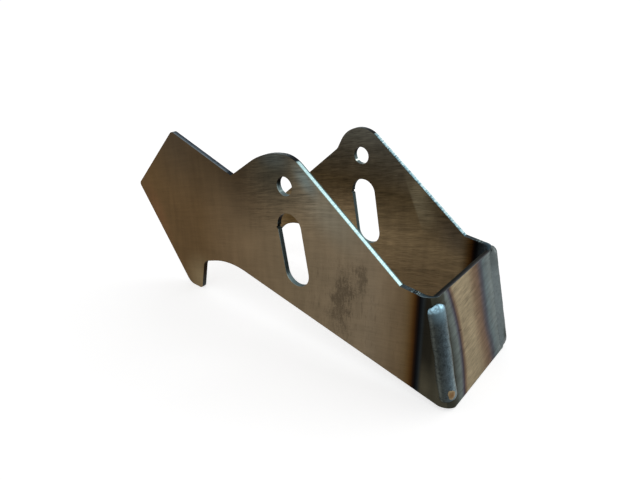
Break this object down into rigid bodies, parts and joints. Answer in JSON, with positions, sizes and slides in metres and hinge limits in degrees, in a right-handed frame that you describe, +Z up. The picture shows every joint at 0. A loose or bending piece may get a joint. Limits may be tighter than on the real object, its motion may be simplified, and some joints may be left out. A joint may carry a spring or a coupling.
{
  "type": "folded sheet-metal pivot bracket",
  "caption": "U-shaped steel bracket folded from one sheet and welded at its corners, with pivot holes, adjuster slots, hooked lower edges and an arrow-shaped tail on one plate.",
  "frame": {"origin": "on the pivot axis, midway between the two side plates", "axes": "as the bracket rests on its hooks and the web's lower edge: +X out through the web, +Y along the pivot from the plate with the tail to the plain plate, +Z up"},
  "size_m": [0.2492, 0.0762, 0.1137],
  "materials": {
    "brushed_sheet": "bare brushed steel with a warm brown cast, bright laser-cut edges and blue, purple and straw heat tint beside both corner welds",
    "weld_metal": "smooth grey weld bead, faintly rippled, with a small brown glassy slag island"
  },
  "bodies": {
    "root": {"bracket_body": "brushed_sheet", "tail_side_weld": "weld_metal", "plain_side_weld": "weld_metal"}
  },
  "joints": []
}
